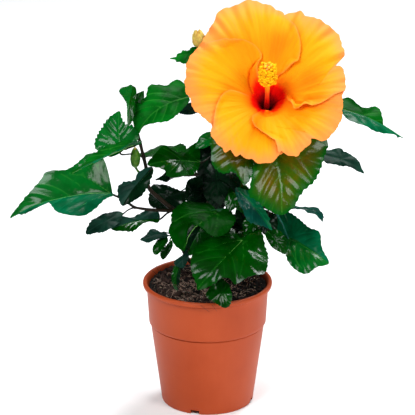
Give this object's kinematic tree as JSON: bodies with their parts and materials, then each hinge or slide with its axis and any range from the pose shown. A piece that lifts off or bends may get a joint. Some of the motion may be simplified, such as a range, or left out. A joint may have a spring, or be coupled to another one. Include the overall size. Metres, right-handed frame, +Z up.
{
  "type": "potted hibiscus",
  "caption": "Small flowering hibiscus shrub with glossy toothed leaves and a wide-open ruffled flower, planted in a round nursery pot of potting mix.",
  "frame": {"origin": "centre of the pot's flat underside, on the pot's axis", "axes": "+Z up along the pot's axis, -Y towards the viewer of the picture, +X to the viewer's right"},
  "size_m": [0.3842, 0.2309, 0.4063],
  "materials": {
    "pot": "smooth moulded terracotta-coloured plastic",
    "soil": "loose dark potting mix with wood fibre",
    "bark": "thin grey-brown bark",
    "leaf": "glossy living leaf",
    "calyx": "satin living stem and calyx",
    "petal": "soft matte petal"
  },
  "bodies": {
    "root": {"pot": "pot", "potting_mix": "soil", "trunk": "bark", "bough_left": "bark", "bough_middle": "bark", "bough_flowering": "bark", "bough_right": "bark", "bough_back": "bark", "bough_right_back": "bark", "foliage_upper_left": "leaf", "foliage_left": "leaf", "foliage_top": "leaf", "foliage_under_bloom": "leaf", "foliage_upper_right": "leaf", "foliage_right": "leaf", "foliage_front": "leaf", "foliage_middle": "leaf", "foliage_low": "leaf", "foliage_back_left": "leaf", "foliage_back_right": "leaf", "foliage_back_top": "leaf", "bloom_stalk": "calyx", "petal_top": "petal", "petal_left": "petal", "petal_lower_left": "petal", "petal_lower_right": "petal", "petal_right": "petal", "stamen_column": "petal"}
  },
  "joints": []
}
